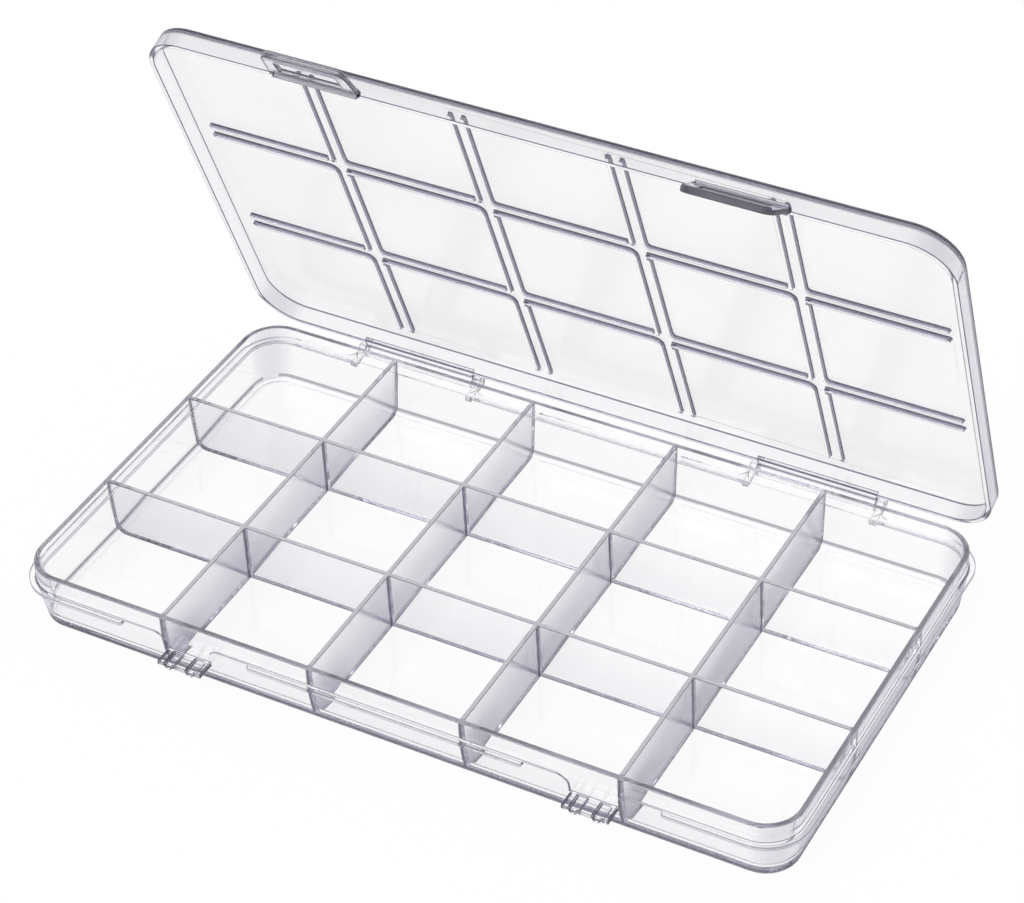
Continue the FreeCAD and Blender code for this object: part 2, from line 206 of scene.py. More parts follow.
fill = node(tree, "ShaderNodeBackground", {"Color": grey(1.0), "Strength": fill_strength})
white = node(tree, "ShaderNodeBackground", {"Color": backdrop_white})
mirrored = sky(tree, rise, softbox_span, wall_grey, softbox_white)
behind = sky(tree, rise, ceiling_span, backdrop_white, ceiling_grey)
light = choose(tree, rays.outputs["Is Glossy Ray"], fill.outputs[0], mirrored)
light = choose(tree, rays.outputs["Is Transmission Ray"], light, behind)
light = choose(tree, rays.outputs["Is Camera Ray"], light, white.outputs[0])
end = node(tree, "ShaderNodeOutputWorld")
join(tree, light, end.inputs["Surface"])
print("studio nodes", len(tree.nodes))

# %% [markdown]
# The floor is a plain pale sheet. For the camera it is white by its own light, with a small share of
# true floor that still takes the soft shadow, and through the plastic it is plain white. In
# reflections it is the pale sheet that the lamp lights, a touch darker than white, so that steep
# walls look faintly grey.

# %% Floor: sheet
floor_size = 12.0
floor_drop = 0.0004

bpy.ops.object.select_all(action="DESELECT")
bpy.ops.mesh.primitive_plane_add(size=floor_size)
floor = bpy.context.active_object
floor.name = "studio_floor"
floor.data.transform(Matrix.Translation((0, 0, -floor_drop)))
print("floor", floor_size, "m wide")

# %% Floor: paper
floor_pale = (0.93, 0.925, 0.95, 1.0)
shadow_share = 0.05

paper = bpy.data.materials.new("floor_paper")
paper.use_nodes = True
tree = paper.node_tree
tree.nodes.clear()
rays = node(tree, "ShaderNodeLightPath")
sheet = node(tree, "ShaderNodeBsdfDiffuse", {"Color": floor_pale})
shaded = node(tree, "ShaderNodeBsdfDiffuse", {"Color": grey(shadow_share)})
glow = node(tree, "ShaderNodeEmission", {"Strength": 1.0 - shadow_share})
lit = node(tree, "ShaderNodeAddShader")
join(tree, glow.outputs[0], lit.inputs[0])
join(tree, shaded.outputs[0], lit.inputs[1])
shine = node(tree, "ShaderNodeEmission")
look = choose(tree, rays.outputs["Is Camera Ray"], sheet.outputs[0], lit.outputs[0])
look = choose(tree, rays.outputs["Is Transmission Ray"], look, shine.outputs[0])
end = node(tree, "ShaderNodeOutputMaterial")
join(tree, look, end.inputs["Surface"])
floor.data.materials.append(paper)
print("shadow share", shadow_share)

# %% [markdown]
# One broad soft lamp stands for the studio's overhead panel. It only has to give the floor its pale
# tone in reflections and a hardly visible shadow. A lamp of finite size would do, but a sun with a
# wide angle lights the whole floor evenly and never shows as a shape in the plastic.

# %% Lamp
key_strength = 1.3
key_softness = 40.0
key_turn = (28.0, -18.0, 0.0)
key_height = 1.0

bpy.ops.object.select_all(action="DESELECT")
bpy.ops.object.light_add(type="SUN", location=(0, 0, key_height), rotation=turned(key_turn))
key = bpy.context.active_object
key.name = "soft_key"
key.data.energy = key_strength
key.data.angle = math.radians(key_softness)
print("lamp", key.name, key_strength)

# %% [markdown]
# Places on the object are read from the frame. The record states each compartment's clear space as a
# box, so the gaps between those boxes are where the dividers stand.

# %% Places: compartments and dividers
record = frame["record"]
hollows = [opening["box_m"] for opening in record["physics"]["openings"]]
rim_height = max(high[2] for low, high in hollows)
floor_height = min(low[2] for low, high in hollows)
hollow_low = Vector([min(low[axis] for low, high in hollows) for axis in range(3)])
hollow_high = Vector([max(high[axis] for low, high in hollows) for axis in range(3)])


def middles(axis):
    """Places of the dividers that part the compartments along an axis."""
    spans = sorted({(low[axis], high[axis]) for low, high in hollows})
    return [(before[1] + after[0]) / 2 for before, after in zip(spans, spans[1:]) if after[0] > before[1]]


divider_xs = middles(0)
divider_ys = middles(1)
print("rim", rim_height, "hollow", tuple(hollow_low), tuple(hollow_high))
print("dividers at", divider_xs, divider_ys)

# %% [markdown]
# The lid is modelled open. Its hinge line and angle turn any of its points back to where they lie
# when it is shut, so that its plate, skirt and ribs can be told apart by height.

# %% Places: the lid's hinge
lid_joint = next(joint for joint in record["behaviour"]["joints"] if joint["child"] == "lid")
lid_axis_point = Vector(lid_joint["pos_m"])
shut = Matrix.Rotation(math.radians(lid_joint["range_deg"][0]), 3, Vector(lid_joint["axis"]))


def when_shut(point):
    """Where a point of the open lid lies when the lid is shut."""
    return lid_axis_point + shut @ (point - lid_axis_point)


print("lid turns about", tuple(lid_axis_point), "and shuts by", lid_joint["range_deg"][0], "degrees")

# %% [markdown]
# Moulded resin is never perfectly even. Where it flowed slowly the surface carries faint broad waves,
# and a rounded mould edge is never as smooth as a pane. The waves are made once as a node group on
# object coordinates, so that they hold still on the piece: one output varies the gloss, the other
# feeds a bump. Each face also carries three shares of its own: how deep its cast is, which also holds
# painted shade, how much it takes part in the slow changes of frost and painted shade, and how far it
# is painted as a dark edge line, a painted shade for the dark surroundings that real clear edges reflect.

# %% Helpers: groups, shares and sums
zone_name = "zone"


def group(name, inputs, outputs):
    """Node group with named float or colour inputs and outputs."""
    made = bpy.data.node_groups.new(name, "ShaderNodeTree")
    for direction_name, sockets in (("INPUT", inputs), ("OUTPUT", outputs)):
        for socket_name, socket_kind in sockets:
            made.interface.new_socket(name=socket_name, in_out=direction_name, socket_type=socket_kind)
    return made


def zone_shares(tree):
    """Sockets with the three shares of the face."""
    zone = node(tree, "ShaderNodeAttribute", attribute_type="GEOMETRY", attribute_name=zone_name)
    shares = node(tree, "ShaderNodeSeparateXYZ")
    join(tree, zone.outputs["Vector"], shares.inputs[0])
    return shares.outputs


def arithmetic(tree, operation, first, second):
    """One step of arithmetic on two sockets."""
    made = node(tree, "ShaderNodeMath", operation=operation)
    join(tree, first, made.inputs[0])
    join(tree, second, made.inputs[1])
    return made.outputs[0]


print("shares are read from the attribute", zone_name)

# %% Group: moulding marks
flow_size = 90.0
flow_detail = 2.0
mark_inputs = [
    ("Gloss", "NodeSocketFloat"),
    ("Haze", "NodeSocketFloat"),
    ("Frost", "NodeSocketFloat"),
    ("Edge Haze", "NodeSocketFloat"),
]
mark_outputs = [("Roughness", "NodeSocketFloat"), ("Height", "NodeSocketFloat")]

marks = group("moulding_marks", mark_inputs, mark_outputs)
given = node(marks, "NodeGroupInput")
result = node(marks, "NodeGroupOutput")
place = node(marks, "ShaderNodeTexCoord")
flow = node(marks, "ShaderNodeTexNoise", {"Scale": flow_size, "Detail": flow_detail})
join(marks, place.outputs["Object"], flow.inputs["Vector"])
shares = zone_shares(marks)
rough = given.outputs["Gloss"]
added = [(flow.outputs["Fac"], "Haze"), (shares["Y"], "Frost"), (shares["Z"], "Edge Haze")]
for share, amount_name in added:
    more = arithmetic(marks, "MULTIPLY", share, given.outputs[amount_name])
    rough = arithmetic(marks, "ADD", rough, more)
join(marks, rough, result.inputs["Roughness"])
join(marks, flow.outputs["Fac"], result.inputs["Height"])
print("group", marks.name, "nodes", len(marks.nodes))

# %% [markdown]
# The violet cast of the resin is hardly visible through a flat pane. Painted shade deepens it in a
# divider: darker towards the floor, darker still at the front foot, and darker towards the front and
# the left of the tray, with random patches of tone. The dark edge lines are painted shade as well. A
# second group turns the three shares of a face into one colour. Separate materials would be simpler to
# paint, but a clear body has to have one material all round, or light that enters by one and leaves by
# another is never let out of the absorbing inside.

# %% Group: resin cast, painted shade runs
patch_size = 38.0
patch_detail = 1.5
patch_span = (0.3, 0.7)
front_reach = 0.014
# Edge is the colour of the painted dark edge lines; Foot, Front Foot, Run X and Run Y are amounts of painted
# shade, Patches of random tone.
cast_inputs = [
    ("Clear", "NodeSocketColor"),
    ("Deep", "NodeSocketColor"),
    ("Edge", "NodeSocketColor"),
    ("Foot", "NodeSocketFloat"),
    ("Front Foot", "NodeSocketFloat"),
    ("Run X", "NodeSocketFloat"),
    ("Run Y", "NodeSocketFloat"),
    ("Patches", "NodeSocketFloat"),
]

cast = group("resin_tint_and_painted_shade", cast_inputs, [("Color", "NodeSocketColor")])
given = node(cast, "NodeGroupInput")
result = node(cast, "NodeGroupOutput")
place = node(cast, "ShaderNodeTexCoord")
axes = node(cast, "ShaderNodeSeparateXYZ")
join(cast, place.outputs["Object"], axes.inputs[0])
shares = zone_shares(cast)
patches = node(cast, "ShaderNodeTexNoise", {"Scale": patch_size, "Detail": patch_detail})
join(cast, place.outputs["Object"], patches.inputs["Vector"])
# Painted shade runs: darker towards the floor, at the front foot, and towards the left and the front.
foot_shade_run = ramp(cast, axes.outputs["Z"], floor_height, rim_height, 1.0, 0.0)
front_shade_run = ramp(cast, axes.outputs["Y"], hollow_low.y, hollow_low.y + front_reach, 1.0, 0.0)
runs = [
    (foot_shade_run, "Foot"),
    (arithmetic(cast, "MULTIPLY", foot_shade_run, front_shade_run), "Front Foot"),
    (ramp(cast, axes.outputs["X"], hollow_low.x, hollow_high.x, -1.0, 1.0), "Run X"),
    (ramp(cast, axes.outputs["Y"], hollow_low.y, hollow_high.y, 1.0, -1.0), "Run Y"),
    (ramp(cast, patches.outputs["Fac"], patch_span[0], patch_span[1], -1.0, 1.0), "Patches"),
]
print("slow runs", [amount_name for run, amount_name in runs])

# %% Group: resin cast, painted shade and colour
def blended(tree, factor, first, second):
    """Mix of two colour sockets by a factor."""
    mixed = node(tree, "ShaderNodeMix", data_type="RGBA")
    join(tree, factor, mixed.inputs["Factor"])
    join(tree, first, mixed.inputs["A"])
    join(tree, second, mixed.inputs["B"])
    return mixed.outputs["Result"]


# The slow runs add painted shade to the face's own depth of cast.
depth = shares["X"]
for run, amount_name in runs:
    change = arithmetic(cast, "MULTIPLY", run, given.outputs[amount_name])
    change = arithmetic(cast, "MULTIPLY", change, shares["Y"])
    depth = arithmetic(cast, "ADD", depth, change)
clamp = node(cast, "ShaderNodeClamp")
join(cast, depth, clamp.inputs["Value"])
shaded_body_colour = blended(cast, clamp.outputs[0], given.outputs["Clear"], given.outputs["Deep"])
# The edge share mixes in the near black Edge colour, a painted line of shade.
join(cast, blended(cast, shares["Z"], shaded_body_colour, given.outputs["Edge"]), result.inputs["Color"])
print("group", cast.name, "nodes", len(cast.nodes))

# %% [markdown]
# One recipe serves every clear part. The surface is glass-like, its colour comes from the cast group,
# with its painted shade and painted dark edge lines, and deepens at grazing angles, where light crosses
# more plastic. Inside is a plain absorption, so that looking down the length of a wall is darker than
# looking through it.

# %% Recipe: clear resin
resin_ior = 1.45
depth_colour = (0.60, 0.58, 0.68, 1.0)
depth_density = 14.0
bump_strength = 0.05
bump_distance = 0.00002
resin_gloss = 0.02
resin_haze = 0.02
edge_haze = 0.35
graze_violet = (0.55, 0.53, 0.65, 1.0)
graze_span = (0.08, 0.50)
# Clear and Deep are the resin's tint, between which the painted shade runs mix; Edge is the near black of the
# painted dark edge lines.
tint_and_shade_colours = {
    "Clear": grey(1.0),
    "Deep": (0.30, 0.29, 0.40, 1.0),
    "Edge": (0.040, 0.034, 0.078, 1.0),
}


def clear_resin(name, amounts, frost=0.0):
    """Clear plastic with the given amounts of the slow runs of painted shade and patches, and the given
    frost.
    """
    material = bpy.data.materials.new(name)
    material.use_nodes = True
    tree = material.node_tree
    tree.nodes.clear()
    mark_amounts = {"Gloss": resin_gloss, "Haze": resin_haze, "Frost": frost, "Edge Haze": edge_haze}
    surface_marks = node(tree, "ShaderNodeGroup", mark_amounts, node_tree=marks)
    tint = node(tree, "ShaderNodeGroup", {**tint_and_shade_colours, **amounts}, node_tree=cast)
    graze = node(tree, "ShaderNodeFresnel", {"IOR": resin_ior})
    deepen = node(tree, "ShaderNodeMix", {"B": graze_violet}, data_type="RGBA", blend_type="MULTIPLY")
    steepness = ramp(tree, graze.outputs["Fac"], graze_span[0], graze_span[1], 0.0, 1.0)
    join(tree, steepness, deepen.inputs["Factor"])
    join(tree, tint.outputs["Color"], deepen.inputs["A"])
    bump = node(tree, "ShaderNodeBump", {"Strength": bump_strength, "Distance": bump_distance})
    join(tree, surface_marks.outputs["Height"], bump.inputs["Height"])
    skin = node(tree, "ShaderNodeBsdfPrincipled", {"Transmission Weight": 1.0, "IOR": resin_ior})
    join(tree, deepen.outputs["Result"], skin.inputs["Base Color"])
    join(tree, surface_marks.outputs["Roughness"], skin.inputs["Roughness"])
    join(tree, bump.outputs["Normal"], skin.inputs["Normal"])
    inside = node(tree, "ShaderNodeVolumeAbsorption", {"Color": depth_colour, "Density": depth_density})
    end = node(tree, "ShaderNodeOutputMaterial")
    join(tree, skin.outputs[0], end.inputs["Surface"])
    join(tree, inside.outputs[0], end.inputs["Volume"])
    return material


print("resin colours", tint_and_shade_colours)

# %% [markdown]
# The finishes differ only in frost and in how far the runs of painted shade go. The lid's big plate is a
# little less glossy than the tray, because it is a broad thin moulding that cools unevenly. Four finishes
# of one recipe are easier to keep alike than four recipes, and each part can still be changed by itself.

# %% Finishes
# Painted shade towards the floor, the front foot, the left and the front, and random patches of tone.
tray_amounts = {"Foot": 0.30, "Front Foot": 0.40, "Run X": -0.06, "Run Y": 0.07, "Patches": 0.05}
tray_frost = 0.08
lid_frost = 0.15

tray_resin = clear_resin("tray_resin", tray_amounts, frost=tray_frost)
lid_resin = clear_resin("lid_resin", {}, frost=lid_frost)
flap_resin = clear_resin("flap_resin", {})
pin_resin = clear_resin("pin_resin", {})
print("finishes", [material.name for material in (tray_resin, lid_resin, flap_resin, pin_resin)])

# %% [markdown]
# The pieces come from the engineering model's own meshes, which are loose triangles. Each is copied,
# its triangles are welded, and flat areas are merged back into whole faces. Only then can its sharp
# edges be found and rounded, as the mould rounds them. Modelling each shell anew would work too, but
# would lose the exact fit of lid, catches and hinges.

# %% Helpers: copy and weld
weld_reach = 0.0000005
flat_angle = math.radians(0.5)
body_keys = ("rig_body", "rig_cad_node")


def select_only(piece):
    """Make one object the only selected one, and the active one."""
    bpy.ops.object.select_all(action="DESELECT")
    piece.select_set(True)
    bpy.context.view_layer.objects.active = piece


def welded_copy(node_name, piece_name, material):
    """Copy of a node's mesh with its triangles welded, its flat faces whole and one finish."""
    select_only(frame["nodes"][node_name])
    bpy.ops.object.duplicate()
    piece = bpy.context.active_object
    piece.name = piece_name
    piece.data.name = piece_name
    for key_name in body_keys:
        del piece[key_name]
    bpy.ops.object.parent_clear(type="CLEAR")
    bpy.ops.object.mode_set(mode="EDIT")
    bpy.ops.mesh.select_all(action="SELECT")
    bpy.ops.mesh.customdata_custom_splitnormals_clear()
    bpy.ops.mesh.remove_doubles(threshold=weld_reach)
    bpy.ops.mesh.dissolve_limited(angle_limit=flat_angle)
    bpy.ops.object.mode_set(mode="OBJECT")
    piece.data.materials.clear()
    piece.data.materials.append(material)
    print(piece_name, "faces", len(piece.data.polygons))
    return piece


print("loose triangles", {name: len(piece.data.polygons) for name, piece in frame["nodes"].items()})

# %% [markdown]
# The mould rounds every sharp edge, so the edges whose two faces turn by more than a set angle are
# looked for. An edge with more than two faces, as at the ends of the lid's ribs, is left alone.
# Edges could be picked by hand instead, but the tray and the lid have thousands of them.

# %% Helpers: sharp edges
sharp_angle = math.radians(38)


def sharp_edges(mesh):
    """Keys of the edges whose two faces turn by more than the sharp angle."""
    beside = {}
    for face in mesh.polygons:
        for key in face.edge_keys:
            beside.setdefault(key, []).append(face.normal)
    found = set()
    for key, normals in beside.items():
        if len(normals) == 2 and normals[0].angle(normals[1], 0.0) > sharp_angle:
            found.add(key)
    return found


print("edges that turn by more than", sharp_angle, "radians are sharp")

# %% [markdown]
# A bevel eats into the faces beside each edge, so an edge with a sliver of a face beside it would
# fold over. The room beside each sharp edge is therefore measured first, both along the edges that
# leave it sideways and across the narrow faces, and the rounding shrinks to what fits.

# %% Helpers: room sideways
parallel_limit = 0.00002
side_share = 0.75


def sideways_room(mesh, sharp, room):
    """Narrow the room of each sharp edge by the plain edges that leave it sideways."""
    meeting = [[] for _ in mesh.vertices]
    for edge in mesh.edges:
        for corner in edge.vertices:
            meeting[corner].append(edge.key)
    for key in sharp:
        start, stop = (mesh.vertices[corner].co for corner in key)
        along = (stop - start).normalized()
        for corner in key:
            for other in meeting[corner]:
                if other in sharp:
                    continue
                span = mesh.vertices[other[1]].co - mesh.vertices[other[0]].co
                sideways = (span - along * span.dot(along)).length
                if sideways > parallel_limit:
                    room[key] = min(room[key], sideways * side_share)


print("a bevel may take this share of a plain edge beside it:", side_share)

# %% Helpers: room crosswise
shared_share = 0.45
small_face = 14


def gap_between(first, second):
    """Distance between two straight edges that don't cross."""
    gaps = []
    for corners, (start, stop) in ((first, second), (second, first)):
        for corner in corners:
            share = intersect_point_line(corner, start, stop)[1]
            nearest = start.lerp(stop, min(max(share, 0.0), 1.0))
            gaps.append((corner - nearest).length)
    return min(gaps)


def crosswise_room(mesh, sharp, room):
    """Narrow the room of each sharp edge by the edges across the same narrow face."""
    for face in mesh.polygons:
        keys = face.edge_keys
        if len(keys) > small_face:
            continue
        for first in keys:
            for second in keys:
                if first not in sharp or set(first) & set(second):
                    continue
                ends = [[mesh.vertices[corner].co for corner in key] for key in (first, second)]
                share = shared_share if second in sharp else side_share
                room[first] = min(room[first], gap_between(*ends) * share)


print("each of two sharp edges may take this share of a narrow face:", shared_share)

# %% [markdown]
# One flat face can hold two finishes, as where the rim and the dividers share one level top. Such a
# face is cut in two by a plane first. The same cut parts the lid's outer edge from its skirt.

# %% Helpers: cut a face in two
cut_reach = 0.0000002


def cut_faces(piece, place, direction, is_chosen):
    """Cut the chosen faces of a piece along a plane."""
    select_only(piece)
    bpy.ops.object.mode_set(mode="EDIT")
    bpy.ops.mesh.select_mode(type="FACE")
    bpy.ops.mesh.select_all(action="DESELECT")
    bpy.ops.object.mode_set(mode="OBJECT")
    for face in piece.data.polygons:
        face.select = is_chosen(face.center, face.normal)
    bpy.ops.object.mode_set(mode="EDIT")
    bpy.ops.mesh.bisect(plane_co=place, plane_no=direction, threshold=cut_reach)
    bpy.ops.object.mode_set(mode="OBJECT")


print("corners closer to a cut than", cut_reach, "m count as on it")

# %% [markdown]
# The mould rounds the edges by a tenth or two of a millimetre. A bevel with a weight for each edge can
# do that in one go, each edge as wide as it has room. The new strips are told apart by a slot of
# their own for a moment, until each face gets its three shares.

# %% Helpers: round the edges
strip_segments = 2
smallest_rounding = 0.00003
fine_rounding = 0.00006


def rounded(piece, width, is_fine=None):
    """Round the sharp edges as far as they have room, in a second slot, and fine places less."""
    mesh = piece.data
    sharp = sharp_edges(mesh)
    room = {key: width for key in sharp}
    for key in sharp:
        if is_fine and is_fine(mesh.vertices[key[0]].co):
            room[key] = fine_rounding
    sideways_room(mesh, sharp, room)
    crosswise_room(mesh, sharp, room)
    weights = mesh.attributes.new("bevel_weight_edge", "FLOAT", "EDGE")
    chosen = 0
    for edge in mesh.edges:
        if room.get(edge.key, 0.0) > smallest_rounding:
            weights.data[edge.index].value = room[edge.key] / width
            chosen += 1
    mesh.materials.append(mesh.materials[0])
    select_only(piece)
    bevel = piece.modifiers.new("mould_edges", "BEVEL")
    bevel.width = width
    bevel.segments = strip_segments
    bevel.limit_method = "WEIGHT"
    bevel.use_clamp_overlap = False
    bevel.material = 1
    bpy.ops.object.modifier_apply(modifier=bevel.name)
    print(piece.name, "sharp", len(sharp), "rounded", chosen, "faces", len(piece.data.polygons))


print("edges with less room than", smallest_rounding, "m stay sharp")

# %% [markdown]
# Where many edges meet in a small place, a bevel can throw a corner off the piece, as a fine spike
# that would stick in the next piece. Mending these by hand would have to be done anew after every
# change, so each stray corner is put on the nearest place of the engineering model's surface.

# %% Helpers: put strays back
stray_reach = 0.00006


def put_back(piece, node_name):
    """Put the corners that the bevel threw off the moulding back on its surface."""
    mould = frame["nodes"][node_name].data
    places = [corner.co for corner in mould.vertices]
    surface = BVHTree.FromPolygons(places, [tuple(face.vertices) for face in mould.polygons])
    moved = 0
    for corner in piece.data.vertices:
        nearest = surface.find_nearest(corner.co)[0]
        if (corner.co - nearest).length > stray_reach:
            corner.co = nearest
            moved += 1
    print(piece.name, "corners put back", moved)


print("corners off by more than", stray_reach, "m go back")

# %% [markdown]
# Last, each face gets its three shares, and the slot of the strips goes. The normals are weighted by
# face area, so that large panes stay optically flat although the thin strips round them are smooth.

# %% Helpers: zone and smooth
face_area_weight = 100


def zoned(piece, shares_of):
    """Write each face's three shares, and put all faces back in one slot."""
    mesh = piece.data
    zones = mesh.attributes.new(zone_name, "FLOAT_VECTOR", "FACE")
    for face in mesh.polygons:
        is_strip = face.material_index == 1
        zones.data[face.index].vector = shares_of(face.center, face.normal, is_strip)
        face.material_index = 0
    mesh.materials.pop(index=1)


def smoothed(piece):
    """Smooth shading that keeps large faces flat."""
    select_only(piece)
    bpy.ops.object.shade_smooth_by_angle(angle=sharp_angle)
    flat = piece.modifiers.new("flat_panes", "WEIGHTED_NORMAL")
    flat.weight = face_area_weight
    flat.keep_sharp = True
    bpy.ops.object.modifier_apply(modifier=flat.name)


print("weight of large faces", face_area_weight)

# %% [markdown]
# The tray is one moulding: floor, walls, flange, fourteen divider sections, catches and hinge ears.
# Which finish a face gets is told by where it lies, so the levels and lines of the tray come first.
# The rim's outline is read from the copy, and the wall's thickness gives its inner line. Painting the
# faces by hand would be quicker once, but would have to be done again after every change of size.

# %% Tray: copy
rim_margin = 0.0004
wall_thickness = 0.0011

tray = welded_copy("base_tray", "tray_shell", tray_resin)
rim_points = [vertex.co for vertex in tray.data.vertices if vertex.co.z > rim_height - rim_margin]
rim_outer = Vector((max(point.x for point in rim_points), max(point.y for point in rim_points), rim_height))
rim_inner = rim_outer - Vector((wall_thickness, wall_thickness, 0.0))
print("rim from", tuple(rim_inner), "to", tuple(rim_outer))

# %% Tray: compartments and corners
divider_margin = 0.0006
rim_cut_margin = 0.0004
rim_corner = 0.0082
divider_reach = 0.0018


def inside_hollow(point):
    """Whether a point is in the space of the compartments, dividers included."""
    in_x = abs(point.x) < rim_inner.x - rim_cut_margin
    in_y = abs(point.y) < rim_inner.y - rim_cut_margin
    return in_x and in_y and point.z < rim_height + divider_margin


def in_corner(point):
    """Whether a point is in one of the tray's four round corners."""
    return abs(point.x) > rim_outer.x - rim_corner and abs(point.y) > rim_outer.y - rim_corner


def near_divider(point):
    """Whether a point is on a divider or in the crease at its foot."""
    gaps = [abs(point.x - middle) for middle in divider_xs]
    gaps += [abs(point.y - middle) for middle in divider_ys]
    return inside_hollow(point) and min(gaps) < divider_reach


print("points by the dividers", sum(near_divider(vertex.co) for vertex in tray.data.vertices))

# %% Tray: catches and hinge ears
catch_depth = 0.0478
catch_heights = (0.0038, 0.0064)
catch_reach = 0.0088
ear_start = 0.0040
latch_joints = [joint for joint in record["behaviour"]["joints"] if "flap" in joint["child"]]
catch_middles = [joint["pos_m"][0] for joint in latch_joints]


def near_catch(point):
    """Whether a point is on the little bars of a catch."""
    return point.y < -catch_depth and catch_heights[0] < point.z < catch_heights[1]


def near_hinge(point):
    """Whether a point is on the ears that hold the hinge pins."""
    return point.y > hollow_high.y + ear_start


def is_delicate(point):
    """Whether a point is where only the smallest rounding fits."""
    return near_catch(point) or near_hinge(point)


def behind_catch(point):
    """Whether a point is on the part of the foot that is seen through a catch."""
    return point.y < 0 and any(abs(point.x - middle) < catch_reach for middle in catch_middles)


print("catches at", catch_middles)

# %% [markdown]
# The level top is one face, but it gets painted shade: the rim darker than the dividers' tops, and the
# two stretches of the rear rim at the hinges paler. So the top is cut along the rim's inner line and at
# both ends of each hinge. The cuts stay a little off the inner line itself: a cut that almost meets an
# edge leaves slivers that a bevel can't round.

# %% Tray: cut the level top
steep = 0.7
along_x = Vector((1.0, 0.0, 0.0))
along_y = Vector((0.0, 1.0, 0.0))
hinge_spans = [tuple(corner.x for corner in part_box(name)) for name in ("hinge_pin_left", "hinge_pin_right")]


def on_top(centre, normal):
    """Whether a face belongs to the level top of the rim and the dividers."""
    return centre.z > rim_height - rim_margin and normal.z > steep


def on_rear_rim(centre, normal):
    """Whether a face belongs to the level top of the rim behind the compartments."""
    return on_top(centre, normal) and centre.y > rim_inner.y - rim_cut_margin


for side in (-1.0, 1.0):
    place = (rim_inner - Vector((rim_cut_margin, rim_cut_margin, 0.0))) * side
    cut_faces(tray, place, along_x, on_top)
    cut_faces(tray, place, along_y, on_top)
for end in hinge_spans[0] + hinge_spans[1]:
    cut_faces(tray, along_x * end, along_x, on_rear_rim)
print("faces after the cuts at the top", len(tray.data.polygons))

# %% [markdown]
# A clear wall is dark where one looks into another wall's end. On the real tray that draws a line
# where a row divider meets a column, where any divider ends at an outer wall, and round the foot.
# Traced light alone gives only part of these lines, so a narrow strip is cut for each of them and painted
# dark, as painted shade.

# %% Tray: cut the columns and walls
upright = 0.35
divider_half = 0.00065
crossing_width = 0.0009
wall_step = 0.0006
wall_end_half = 0.00033
foot_line_span = (0.0009, 0.0017)
along_z = Vector((0.0, 0.0, 1.0))


def on_column(centre, normal):
    """Whether a face is a side of a column divider."""
    return near_divider(centre) and normal.x > steep and abs(normal.z) < upright


def on_wall_outside(centre, normal):
    """Whether a face is an upright outer face of the walls."""
    if abs(normal.z) > upright or normal.x * centre.x + normal.y * centre.y < 0:
        return False
    beyond_x = abs(centre.x) > hollow_high.x + divider_reach
    beyond_y = abs(centre.y) > hollow_high.y + divider_reach
    within_walls = abs(centre.x) < rim_outer.x + wall_step and abs(centre.y) < rim_outer.y + wall_step
    return (beyond_x or beyond_y) and within_walls and not near_catch(centre)


for middle in divider_ys:
    cut_faces(tray, along_y * (middle - divider_half - crossing_width), along_y, on_column)
for side in (-wall_end_half, wall_end_half):
    for middle in divider_xs:
        cut_faces(tray, along_x * (middle + side), along_x, on_wall_outside)
    for middle in divider_ys:
        cut_faces(tray, along_y * (middle + side), along_y, on_wall_outside)
cut_faces(tray, along_z * foot_line_span[1], along_z, on_wall_outside)
print("faces after the cuts in the walls", len(tray.data.polygons))

# %% Tray: cut the catch bars
# Narrow strips at the sides of each catch bar are cut, to be painted as dark lines of shade.
bar_widths = (0.0015, 0.0021, 0.0029, 0.0021, 0.0015)
bar_line_inset = 0.00012
bar_line_width = 0.0003
bar_lines = []
for middle in catch_middles:
    start = middle - sum(bar_widths) / 2
    for bar_width in bar_widths:
        bar_lines.append((start + bar_line_inset, start + bar_line_inset + bar_line_width))
        start += bar_width
    bar_lines.append((start - bar_line_inset - bar_line_width, start - bar_line_inset))


def on_catch(centre, normal):
    """Whether a face is a front or top face of a catch."""
    return near_catch(centre) and abs(normal.x) < upright


for line in bar_lines:
    for side in line:
        cut_faces(tray, along_x * side, along_x, on_catch)
print("bar lines", len(bar_lines), "faces after their cuts", len(tray.data.polygons))

# %% [markdown]
# With the cuts made, every face can be given its shares: depth of cast and part in the slow changes,
# both partly painted shade, and a painted dark edge shade. Rounded edges get the darkest painted shade,
# above all along the rim and at the catches. The foot, where the wall curves into the floor, is painted
# as a thick violet band of shade, but not behind a catch.

# %% Tray: shares of the rounded edges
painted_edge_shade_shares = (0.0, 0.0, 1.0)
foot_edge_shares = (0.0, 0.0, 0.95)
crossing_strip_shares = (0.0, 0.0, 0.70)
hinge_edge_shares = (0.0, 0.0, 0.40)
flange_edge_shares = (0.0, 0.0, 0.85)
band_edge_shares = (0.0, 0.0, 0.92)
pale_band_shares = (0.0, 0.0, 0.0)
flange_heights = (0.0090, 0.0107)


def tray_strip(centre, normal):
    """Shares of a rounded edge of the tray, painted with dark shade."""
    if inside_hollow(centre):
        return crossing_strip_shares if abs(normal.z) < upright else foot_edge_shares
    if near_catch(centre):
        return painted_edge_shade_shares
    if near_hinge(centre):
        return hinge_edge_shares
    if centre.z < floor_height:
        return pale_band_shares if behind_catch(centre) else band_edge_shares
    if flange_heights[0] < centre.z < flange_heights[1] and abs(normal.x) < steep:
        return flange_edge_shares
    return painted_edge_shade_shares


print("darkest edge", painted_edge_shade_shares, "palest", pale_band_shares)

# %% Tray: shares of the level top
# Painted shade on the level top: rim, hinge stretches, divider tops and a darker line on one side of each
# divider.
rim_top_shares = (0.0, 0.0, 0.80)
hinge_rim_shares = (0.0, 0.0, 0.60)
divider_top_shares = (0.0, 0.0, 0.62)
divider_shade_line_shares = (0.0, 0.0, 0.97)


